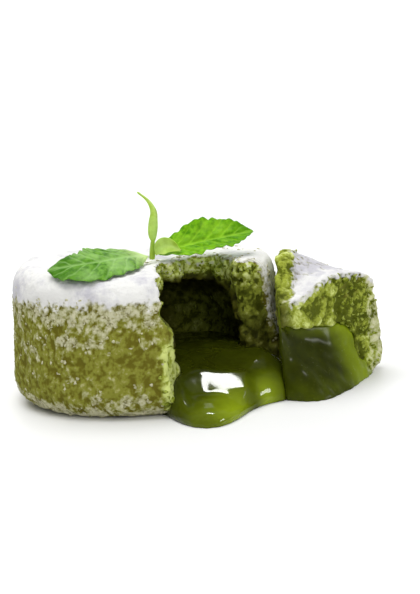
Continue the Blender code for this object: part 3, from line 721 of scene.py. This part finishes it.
def scatter_tree():
    """Small lumps over a surface, by the stored number called amount."""
    tree, given, result, place = tree_with_inputs("scatter", {
        "Least gap": 0.5 * MM, "Most per square metre": 4e6, "Lump radius": 0.25 * MM, "Seed": 1.0})
    spread = add(tree, "GeometryNodeDistributePointsOnFaces", {
        "Mesh": given["Geometry"], "Distance Min": given["Least gap"], "Seed": given["Seed"],
        "Density Max": given["Most per square metre"], "Density Factor": named(tree, "amount"),
    }, distribute_method="POISSON")
    ball = add(tree, "GeometryNodeMeshIcoSphere", {
        "Radius": given["Lump radius"], "Subdivisions": 1})
    size = add(tree, "FunctionNodeRandomValue", {
        "Min": (0.5, 0.5, 0.35), "Max": (1.7, 1.5, 0.75), "Seed": 5}, data_type="FLOAT_VECTOR")
    placed = add(tree, "GeometryNodeInstanceOnPoints", {
        "Points": spread.outputs["Points"], "Instance": ball.outputs["Mesh"],
        "Rotation": spread.outputs["Rotation"], "Scale": size.outputs[0]})
    real = add(tree, "GeometryNodeRealizeInstances", {"Geometry": placed.outputs[0]})

    finer = maths(tree, "DIVIDE", 0.8, given["Lump radius"])
    shake = add(tree, "ShaderNodeTexNoise", {"Vector": place, "Scale": finer, "Detail": 1.0})
    inputs = {0: shake.outputs["Color"], 1: (0.5, 0.5, 0.5)}
    middle = add(tree, "ShaderNodeVectorMath", inputs, operation="SUBTRACT")
    push = scaled(tree, middle.outputs[0], product(tree, given["Lump radius"], 2.5))
    uneven = add(tree, "GeometryNodeSetPosition", {"Geometry": real.outputs[0], "Offset": push})
    finish_tree(tree, uneven.outputs[0], given, result)
    return tree


def grain_material(name, first, second):
    """A powdery finish between two tones."""
    made, tree, shader, place = material(name)
    tone = step_up(tree, noise(tree, place, 1.1 * MM), 0.38, 0.62)
    fill_in(tree, shader, {
        "Base Color": mix(tree, tone, first, second),
        "Roughness": 0.9,
        "Specular IOR Level": 0.12})
    return made


def scattered(source, name, amount, look, **sizes):
    """Lumps over one piece's skin, as thick as the amounts say."""
    thing = new_thing(name, source.data.copy())
    store(thing, "amount", amount)
    run_tree(thing, scatter, look, **sizes)
    raise_to_table(thing)
    print(name, "has", len(thing.data.polygons), "faces")
    return thing


# %% Scatter the sugar and the crumbs
scatter = scatter_tree()
sugar_look = grain_material("sugar_clump_look", (0.36, 0.35, 0.18), (0.58, 0.56, 0.38))
crumb_look = grain_material("crumb_look", (0.16, 0.2, 0.01), (0.38, 0.44, 0.08))

wall_sugar = crust * fade(sugar, 0.6, 0.95) * np.clip(dust - 0.3, 0, 1) * gathered
side_sugar = wedge_side * 0.4 * ease(wander(wedge_points, 4, 19), 0, 0.5)
torn_crumbs = (1.0 - crust) * (1.0 - wet_and_shade) * (0.15 + 0.85 * ease(z, 28, 30)) * 0.5
corner_crumbs = broken_corner * fade(z, 3, 6) * ease(-y, 30, 34) * 0.8
wedge_torn = (1.0 - wedge_crust) * (1.0 - wedge_painted_shade) * (0.15 + 0.85 * wedge_pores) * 0.5
grains = {
    "cake": [
        scattered(cake, "cake_sugar_clumps", wall_sugar, sugar_look,
                  lump_radius=0.38 * MM, least_gap=0.6 * MM),
        scattered(cake, "cake_corner_crumbs", corner_crumbs, crumb_look,
                  lump_radius=0.85 * MM, least_gap=1.2 * MM, seed=4.0),
        scattered(cake, "cake_crumbs", torn_crumbs, crumb_look,
                  lump_radius=0.42 * MM, least_gap=0.8 * MM)],
    "slice": [
        scattered(wedge, "slice_sugar_clumps", side_sugar, sugar_look, lump_radius=0.3 * MM),
        scattered(wedge, "slice_crumbs", wedge_torn, crumb_look,
                  lump_radius=0.5 * MM, least_gap=1.3 * MM)],
}

# %% [markdown]
# ## The molten filling
#
# The molten middle is thick and glossy, and surface tension rounds its edges. Its solids are
# faceted and stay a hair away from the sponge. So the skin is remeshed, smoothed many times and
# pushed out until it clings to the sponge, but kept above the table. It is deep green where it
# is thick and bright where it is thin. A number with each point says so, and it also paints
# light: painted shade towards the hollow, and a painted highlight and painted sheen in places.

# %% Shape the filling
FILLING_VOXEL = 0.5
ABOVE_TABLE = 0.02


def molten_piece(node, name, swell, rounds, ripple):
    """A filling piece: rebuilt, smoothed, pushed out to touch the sponge."""
    thing = fine_copy(node, name, FILLING_VOXEL)
    soft = thing.modifiers.new("surface tension", "SMOOTH")
    soft.factor = 0.5
    soft.iterations = rounds
    bake(thing)
    here = points_of(thing)
    slow = 0.1 * wander(here, 12, 7) + ripple * wander(here, 5, 8)
    here += normals_of(thing) * (swell + slow)[:, None]
    here[:, 2] = np.maximum(here[:, 2], ABOVE_TABLE)
    put_points(thing, here)
    return thing


lava = molten_piece("filling", "molten_filling", swell=0.35, rounds=14, ripple=0.04)
coat = molten_piece("slice_filling", "slice_molten_filling", swell=0.25, rounds=10, ripple=0.2)

# %% [markdown]
# Where the tongue leaves the cake it sinks and tips forward over the edge of the pool. A gentle
# fold does that in its upper face: the face sinks along the tongue, and its middle is drawn to
# one slope that hardly bends. Such a slope is a nearly flat mirror, so the window behind shows
# in it as one broad white gleam, and the slope's borders are the gleam's.

# %% The fold in the tongue
FOLD_SINK = 2.1
GLEAM = (19.1, -32.0, 7.75)
GLEAM_FALL = 0.5
GLEAM_CURVE_ALONG = 0.008
GLEAM_CURVE_ACROSS = 0.013
GLEAM_SLANT = 0.4

folded = points_of(lava)
x_here, y_here, z_here = folded.T
upper = ease(z_here, 0.5, 6) * ease(x_here, 7, 12) * fade(x_here, 25, 31)
sink = FOLD_SINK * ease(-y_here, 26, 38) * (1.0 - 0.5 * ease(-y_here, 40, 48))
down, aside = GLEAM[1] - y_here, x_here - GLEAM[0]
slope = GLEAM[2] - GLEAM_FALL * down - GLEAM_CURVE_ACROSS / 2 * aside ** 2
slope -= GLEAM_CURVE_ALONG / 2 * (down - GLEAM_SLANT * aside) ** 2
drawn = ease(x_here, 11, 15.5) * fade(x_here, 24.5, 28) * ease(z_here, 3, 5)
drawn *= ease(-y_here, 26.5, 29.5) * fade(-y_here, 35, 40)
sunk = z_here - upper * sink
drawn_height = sunk + drawn * (slope - sunk)
moved = float(np.abs(drawn_height - z_here).max())
folded[:, 2] = drawn_height
put_points(lava, folded)
print("the fold moves the face by", round(moved, 2), "mm at most")

# %% [markdown]
# The number is a low base with a few soft spots, and it fades towards the hollow as painted
# shade. One small spot, at the tongue's right edge by the slice, is a painted highlight. On the
# slice it grows along the torn face as painted light, and under the lip and where the filling
# meets the plate as painted sheen.

# %% Where it is bright, with its painted light and shade
THIN_AND_LIT_SPOTS = (
    (24, -45, 8, 0.7), (32, -30, 4.5, 0.45), (13, -47, 7, 0.2),
    # The last spot is a painted highlight at the tongue's right edge.
    (21, -37, 5, 0.2), (30.5, -31.5, 2.5, 0.3),
)

lava_points = points_of(lava)
thin_and_lit = 0.06 + 0.05 * wander(lava_points, 9, 12)
for spot_x, spot_y, spread, amount in THIN_AND_LIT_SPOTS:
    away = np.hypot(lava_points[:, 0] - spot_x, lava_points[:, 1] - spot_y)
    thin_and_lit = thin_and_lit + amount * np.exp(-(away / spread) ** 2)
# Painted shade: the filling darkens towards the hollow.
thin_and_lit = thin_and_lit * (1.0 - 0.65 * ease(lava_points[:, 1], -31, -24))
store(lava, "thin_and_lit", np.clip(thin_and_lit, 0, 1))

coat_points = points_of(coat)
coat_along = along_cut(coat_points)
# Painted light on the band along the torn face, and painted sheen near the plate and under the lip.
coat_thin_and_lit = 0.14 + 0.55 * ease(coat_along, 17, 27) + 0.04 * wander(coat_points, 6, 13)
coat_thin_and_lit = coat_thin_and_lit + 0.1 * fade(coat_points[:, 2], 2, 6)
under_lip = np.interp(coat_along, LIP_PLACES, LIP_HEIGHTS) - coat_points[:, 2]
coat_thin_and_lit = coat_thin_and_lit + 0.22 * fade(under_lip, 0.5, 3.5)
store(coat, "thin_and_lit", np.clip(coat_thin_and_lit, 0, 1))
print("glow from", round(float(thin_and_lit.min()), 2), "to", round(float(thin_and_lit.max()), 2))

# %% The molten material
MOLTEN_DEEP = (0.016, 0.019, 0.001)
MOLTEN_BRIGHT = (0.25, 0.33, 0.01)


def molten_material(name, gloss, rough, mottle):
    """Wet green, deep or bright by thinness and painted light, more or less glossy and mottled."""
    made, tree, shader, place = material(name)
    swirl = noise(tree, place, 12 * MM, 3.0, 0.55)
    grain = noise(tree, place, 1.2 * MM)
    thin_and_lit_here = stored(tree, "thin_and_lit")
    share = weighted(tree, (thin_and_lit_here, 1.0), (swirl, mottle), (grain, 0.08), (1.0, -0.14))
    share = step_up(tree, share, -0.1, 1.05)
    fill_in(tree, shader, {
        "Base Color": mix(tree, share, MOLTEN_DEEP, MOLTEN_BRIGHT),
        "Roughness": maths(tree, "MULTIPLY_ADD", grain, 0.05, rough),
        "Specular IOR Level": gloss,
        "Subsurface Weight": 0.25,
        "Subsurface Radius": (1.0, 1.0, 0.2),
        "Subsurface Scale": 1.2 * MM,
        "Normal": bump_of(tree, noise(tree, place, 7 * MM, 1.0), 0.05, 0.5 * MM)})
    return made


dress(lava, molten_material("molten_filling_look", gloss=0.15, rough=0.05, mottle=0.24))
dress(coat, molten_material("soaked_filling_look", gloss=0.07, rough=0.24, mottle=0.06))

# %% [markdown]
# ## Mint leaves
#
# A mint leaf is a thin toothed blade. Its side veins leave the midrib in pairs and curve towards
# the tip, and the blade puffs up between them. That follows a rule: a place t along the midrib
# and a place s across it give every point. So each leaf is a fine grid of t and s, on the same
# midrib, width and lift as its solid, and each point keeps how near it is to a vein.

# %% The blade's rule
BLADE_THICKNESS = 0.5
VEIN_SWEEP = 1.6
TOOTH_DEPTH = 0.12
RIB_WIDTH = 0.42
SIDE_VEIN_WIDTH = 0.075
PUFF_EDGE = 0.16
GROOVE_DEPTH = 0.25
GROOVE_WIDTH = 0.9
ROWS = 150
COLUMNS = 60


def along_curve(corners, t):
    """Points and headings on a smooth open curve through the corners, t from 0 to 1."""
    corners = np.array(corners, float)
    spans = len(corners) - 1
    padded = np.vstack([2 * corners[0] - corners[1], corners, 2 * corners[-1] - corners[-2]])
    position = np.minimum(t * spans, spans - 1e-6)
    index = position.astype(int)
    local = (position - index)[:, None]
    before, start, end, after = (padded[index + shift] for shift in range(4))
    linear = end - before
    square = before * 2 - start * 5 + end * 4 - after
    cubic = start * 3 - before - end * 3 + after
    place = (start * 2 + linear * local + square * local ** 2 + cubic * local ** 3) / 2
    heading = linear + square * 2 * local + cubic * 3 * local ** 2
    return place, heading / np.linalg.norm(heading, axis=1)[:, None]


def blade_width(leaf, t):
    """Half the blade's width along it in millimetres, and its shape from 0 to 1."""
    power = math.log(0.5) / math.log(leaf["widest"])
    shape = np.maximum(np.sin(math.pi * np.minimum(1.0, t ** power)), 0.0) ** 0.85
    tooth = 1.0 - np.abs(2.0 * ((t * leaf["teeth"]) % 1.0) - 1.0)
    notch = 1.0 - TOOTH_DEPTH * tooth ** 1.4 * (leaf["teeth"] > 0) * ease(t, 0.06, 0.14)
    return np.maximum(leaf["half_width"] * shape * notch, leaf["stem"]), shape


def net_of_faces(rows, columns):
    """Faces of a closed skin: an upper and a lower grid of points, joined along their rim."""
    grid = np.arange((rows + 1) * (columns + 1)).reshape(rows + 1, columns + 1)
    a, b, c, d = grid[:-1, :-1], grid[:-1, 1:], grid[1:, 1:], grid[1:, :-1]
    upper = np.stack([a, d, c, b], axis=-1).reshape(-1, 1, 4)
    lower = np.stack([a, b, c, d], axis=-1).reshape(-1, 1, 4) + grid.size
    faces = np.hstack([upper, lower]).reshape(-1, 4).tolist()
    rim = np.hstack([grid[0, :-1], grid[:-1, -1], grid[-1, :0:-1], grid[:0:-1, 0]]).tolist()
    for first, second in zip(rim, rim[1:] + rim[:1]):
        faces.append((first, second, second + grid.size, first + grid.size))
    return faces


def blade(name, leaf):
    """A leaf as a closed skin of two faces, with its vein number on every point."""
    t = np.linspace(0.0, 1.0, ROWS + 1)
    s = np.linspace(-1.0, 1.0, COLUMNS + 1)
    place, heading = along_curve(leaf["rib"], t)
    across = np.array(leaf["across"], float)
    across = across - heading * (heading @ across)[:, None]
    across /= np.linalg.norm(across, axis=1)[:, None]
    normal = np.cross(heading, across)
    twist = (leaf["twist"] * ease(t, 0.25, 1))[:, None]
    across = across * np.cos(twist) + normal * np.sin(twist)
    normal = np.cross(heading, across)
    width, shape = blade_width(leaf, t)
    tt, ss = np.meshgrid(t, s, indexing="ij")
    from_rib = np.abs(ss) * width[:, None]

    phase = leaf["pairs"] * tt - VEIN_SWEEP * np.abs(ss) ** 0.9 + 0.12 * (ss > 0)
    to_vein = np.abs((phase + 0.5) % 1.0 - 0.5)
    rib_line = np.exp(-(from_rib / RIB_WIDTH) ** 2)
    side_line = np.exp(-(to_vein / SIDE_VEIN_WIDTH) ** 2)
    side_line = side_line * (1.0 - 0.5 * np.abs(ss)) * ease(from_rib, 0, 0.6)
    vein = np.clip(rib_line + side_line * (leaf["pairs"] > 0), 0, 1)

    ripple = leaf["wave"] * ss * ss * np.sin(2 * math.pi * (2.5 * tt + 0.25 * (ss > 0)))
    puff = leaf["puff"] * (1.0 - np.exp(-(to_vein / PUFF_EDGE) ** 2)) * ease(from_rib, 0.2, 1.2)
    groove = GROOVE_DEPTH * np.exp(-(from_rib / GROOVE_WIDTH) ** 2)
    lift = (leaf["cup"] * ss * ss + ripple + puff - groove) * shape[:, None]
    middle = (place[:, None, :] + across[:, None, :] * (width[:, None] * ss)[:, :, None]
              + normal[:, None, :] * lift[:, :, None])
    edge = np.sqrt(np.clip(1.0 - ss ** 8, 0.0, 1.0))
    edge = edge * ease(tt, -0.001, 0.02) * (1 - ease(tt, 0.98, 1.001))
    half = normal[:, None, :] * (BLADE_THICKNESS / 2 * (0.15 + 0.85 * edge))[:, :, None]
    upper, lower = (middle + half).reshape(-1, 3), (middle - half).reshape(-1, 3)

    mesh = bpy.data.meshes.new(name)
    mesh.from_pydata((np.vstack([upper, lower]) * MM).tolist(), [], net_of_faces(ROWS, COLUMNS))
    thing = new_thing(name, mesh)
    skin = bmesh.new()
    skin.from_mesh(mesh)
    bmesh.ops.recalc_face_normals(skin, faces=skin.faces)
    skin.to_mesh(mesh)
    skin.free()
    store(thing, "vein", np.tile(vein.ravel(), 2))
    store(thing, "along", np.tile(tt.ravel(), 2))
    dress(thing, leaf["look"])
    print(name, "has", len(mesh.polygons), "faces")
    return thing


# %% [markdown]
# Mint is a saturated green with paler veins, and a young leaf is nearly yellow. All the blades
# share one way of painting: a mottled green with broad pale patches and a darker tip, then the
# paler veins and base.

# %% Mint materials and blades


def mint_material(name, deep, bright, vein_colour, base_colour, base_reach):
    """A leaf's finish in its own greens."""
    made, tree, shader, place = material(name)
    vein_here, along_here = stored(tree, "vein"), stored(tree, "along")
    mottle = noise(tree, place, 1.6 * MM, 3.0, 0.6)
    green = mix(tree, step_up(tree, mottle, 0.35, 0.65), deep, bright)
    patches = step_up(tree, noise(tree, place, 6 * MM), 0.42, 0.62)
    near_tip = step_up(tree, along_here, 0.5, 0.95)
    near_base = flipped(tree, step_up(tree, along_here, 0.0, base_reach))
    for share, colour in (
        (product(tree, patches, 0.45), vein_colour), (product(tree, near_tip, 0.7), deep),
        (product(tree, vein_here, 0.5), vein_colour), (near_base, base_colour),
    ):
        green = mix(tree, share, green, colour)
    inputs = {"Vector": place, "Scale": 1.0 / (1.1 * MM)}
    net = add(tree, "ShaderNodeTexVoronoi", inputs, feature="DISTANCE_TO_EDGE")
    fill_in(tree, shader, {
        "Base Color": green,
        "Roughness": maths(tree, "MULTIPLY_ADD", mottle, 0.2, 0.38),
        "Specular IOR Level": 0.06,
        "Subsurface Weight": 0.15,
        "Subsurface Radius": (0.5, 1.0, 0.2),
        "Subsurface Scale": 0.6 * MM,
        "Normal": bump_of(tree, net.outputs["Distance"], 0.5, 0.15 * MM)})
    return made


left_look = mint_material("mint_leaf_left_look", (0.04, 0.15, 0.004), (0.14, 0.33, 0.03),
                          (0.33, 0.55, 0.17), (0.56, 0.72, 0.3), 0.32)
right_look = mint_material("mint_leaf_right_look", (0.06, 0.21, 0.002), (0.17, 0.41, 0.007),
                           (0.28, 0.53, 0.026), (0.27, 0.5, 0.03), 0.12)
young_look = mint_material("mint_young_look", (0.34, 0.51, 0.05), (0.5, 0.7, 0.12),
                           (0.56, 0.76, 0.22), (0.36, 0.52, 0.05), 0.1)
PLAIN_BLADE = {"stem": 0.4, "wave": 0.0, "twist": 0.0, "teeth": 0, "pairs": 0.0, "puff": 0.0}
LEAVES = {
    "mint_leaf_left": {
        "rib": ((2, -8.2, 37.5), (-3.2, -16.4, 39.1), (-10, -23.2, 39.5), (-17, -25, 39.2),
                (-23.6, -23.4, 38.3)),
        "across": (0.3, -0.88, -0.34), "half_width": 8.6, "cup": -0.6, "wave": 0.4,
        "widest": 0.56, "teeth": 11, "pairs": 8, "puff": 0.3, "look": left_look,
    },
    "mint_leaf_right": {
        "rib": ((4.5, -6.9, 37.9), (12, -7.2, 39.5), (19.8, -6.8, 40.6), (26, -6, 41.2),
                (30.6, -5, 41.6)),
        "across": (0.05, 0.87, 0.5), "half_width": 7.5, "cup": 1.7, "wave": 0.5,
        "widest": 0.44, "teeth": 11, "pairs": 7, "puff": 0.4, "look": right_look,
    },
    "mint_shoot": {
        "rib": ((3.6, -6.6, 41.1), (3.9, -6.8, 43.6), (4.3, -7, 46.3), (4.6, -7, 49.3),
                (3.3, -7, 52.2), (0.5, -7, 54.9)),
        "across": (0.85, 0.5, 0), "half_width": 1.5, "stem": 0.35, "cup": 0.5,
        "widest": 0.32, "twist": 0.7, "look": young_look,
    },
    "mint_leaf_young": {
        "rib": ((4, -7.9, 37.8), (5.6, -9, 39.7), (7.9, -10.2, 40.2), (10.8, -11.4, 38.9)),
        "across": (-0.25, 0.35, 0.9), "half_width": 2.3, "cup": 0.7, "widest": 0.5,
        "look": young_look,
    },
}
sprig = {node: blade(node + "_blade", {**PLAIN_BLADE, **leaf}) for node, leaf in LEAVES.items()}

# %% [markdown]
# The stalk is a short stem. Its solid is a ten-sided bar, and subdivision rounds it off, which is
# all that two millimetres need. It is drawn out a little first, to run into the shoot.

# %% The stalk
STALK_STRETCH = 1.14

stem = merged_copy("mint_stalk", "mint_stalk_stem")
stretched = points_of(stem)
foot_height = stretched[:, 2].min()
stretched[:, 2] = foot_height + (stretched[:, 2] - foot_height) * STALK_STRETCH
put_points(stem, stretched)
rounding = stem.modifiers.new("round", "SUBSURF")
rounding.levels = 3
bake(stem)
store(stem, "vein", np.zeros(len(stem.data.vertices)))
store(stem, "along", np.ones(len(stem.data.vertices)))
dress(stem, young_look)

# %% [markdown]
# ## Everything rides on the body
#
# The object has no moving parts, so every piece rides on the one body. A piece made from a solid
# replaces it, and the loose crumbs and clumps come on top.

# %% Ride and replace
standing_for = {"cake": cake, "slice": wedge, "filling": lava, "slice_filling": coat,
                "mint_stalk": stem, **sprig}
for node, piece in standing_for.items():
    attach(piece, "root")
    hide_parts(node)
for node, loose in grains.items():
    for piece in loose:
        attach(piece, "root")
print(len(standing_for), "pieces stand for", len(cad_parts), "solids")

# %% [markdown]
# ## Floor, light and camera
#
# The floor is a pale sheet that curves up behind the cake, with a light of its own, so from in
# front no horizon shows. From behind one does, because the sheet's near end stays flat. The rest
# is a bright room: a dim sky, a broad soft light above and a weak fill in front. Those two are
# kept out of reflections, where they would lay grey sheets on every wet face. Two windows show in
# reflections only. The one behind lays the white gleam on the filling. It is a turned ellipse.

# %% The floor


def sweep_floor():
    """A pale floor that bends up into a backdrop far behind the cake."""
    half, bend, rise, steps = 3.0, 0.6, 2.5, 12
    line = [(-half, 0.0)]
    for turn in (math.pi / 2 * step / steps for step in range(steps + 1)):
        line.append((half - bend + bend * math.sin(turn), bend - bend * math.cos(turn)))
    line.append((half, rise))
    corners = [(side, y, z) for y, z in line for side in (-half, half)]
    faces = [(2 * i, 2 * i + 1, 2 * i + 3, 2 * i + 2) for i in range(len(line) - 1)]
    mesh = bpy.data.meshes.new("floor")
    mesh.from_pydata(corners, [], faces)
    thing = new_thing("floor", mesh)
    made, tree, shader, place = material("pale_floor")
    tone = mix(tree, noise(tree, place, 0.3), (0.8, 0.8, 0.8), (0.84, 0.84, 0.83))
    fill_in(tree, shader, {"Base Color": tone, "Roughness": 0.55})
    dress(thing, made)
    return thing


floor = sweep_floor()

# %% Lights
GLEAM_TURN = math.radians(-20.0)


def soft_box(name, place, towards, width, height, power, shape="RECTANGLE", turn=0.0):
    """A flat light that the camera doesn't see, turned in its own plane."""
    light = bpy.data.lights.new(name, "AREA")
    light.shape = shape
    light.size, light.size_y, light.energy = width, height, power
    thing = bpy.data.objects.new(name, light)
    thing.location = place
    aim = (Vector(towards) - Vector(place)).to_track_quat("-Z", "Y")
    thing.rotation_euler = (aim @ Quaternion((0.0, 0.0, 1.0), turn)).to_euler()
    thing.visible_camera = False
    scene.collection.objects.link(thing)
    return thing


world = bpy.data.worlds.new("soft room")
scene.world = world
world.use_nodes = True
fill_in(world.node_tree, world.node_tree.nodes["Background"], {
    "Color": (0.97, 0.98, 1.0, 1.0), "Strength": 0.34})
behind = soft_box("window_behind", (0.029, 0.19, 0.523), (0.019, -0.032, 0.008), 0.12, 0.072,
                  1.0, "ELLIPSE", GLEAM_TURN)
beside = soft_box("window_right", (0.48, -0.14, 0.19), (0.03, -0.03, 0.004), 0.16, 0.1, 1.5)
above = soft_box("broad_light_above", (-0.15, 0.05, 0.75), (0.0, 0.0, 0.02), 0.7, 0.7, 6.2)
fill = soft_box("front_fill", (0.35, -0.7, 0.35), (0.02, -0.02, 0.02), 0.5, 0.5, 2.7)
soft_box("backdrop_wash", (0.0, 1.2, 1.6), (0.0, 2.9, 0.6), 3.0, 1.0, 110.0)
for thing in (above, fill):
    thing.visible_glossy = False
for thing in (behind, beside):
    thing.visible_diffuse = False

# %% [markdown]
# The camera looks down from in front with a long lens, a little rolled. Its place was fitted to
# the outline of the cake in the photograph.

# %% Camera
CAMERA_PLACE = (0.0176, -0.42, 0.1)
CAMERA_PITCH = math.radians(10.3)
CAMERA_ROLL = math.radians(4.65)
CAMERA_LENS = 94.3

lens = bpy.data.cameras.new("camera")
lens.lens = CAMERA_LENS
lens.sensor_width = 36.0
camera = bpy.data.objects.new("camera", lens)
camera.matrix_world = (Matrix.Translation(CAMERA_PLACE)
                       @ Matrix.Rotation(math.radians(90.0) - CAMERA_PITCH, 4, "X")
                       @ Matrix.Rotation(-CAMERA_ROLL, 4, "Z"))
scene.collection.objects.link(camera)
scene.camera = camera
scene.view_settings.view_transform = "Standard"
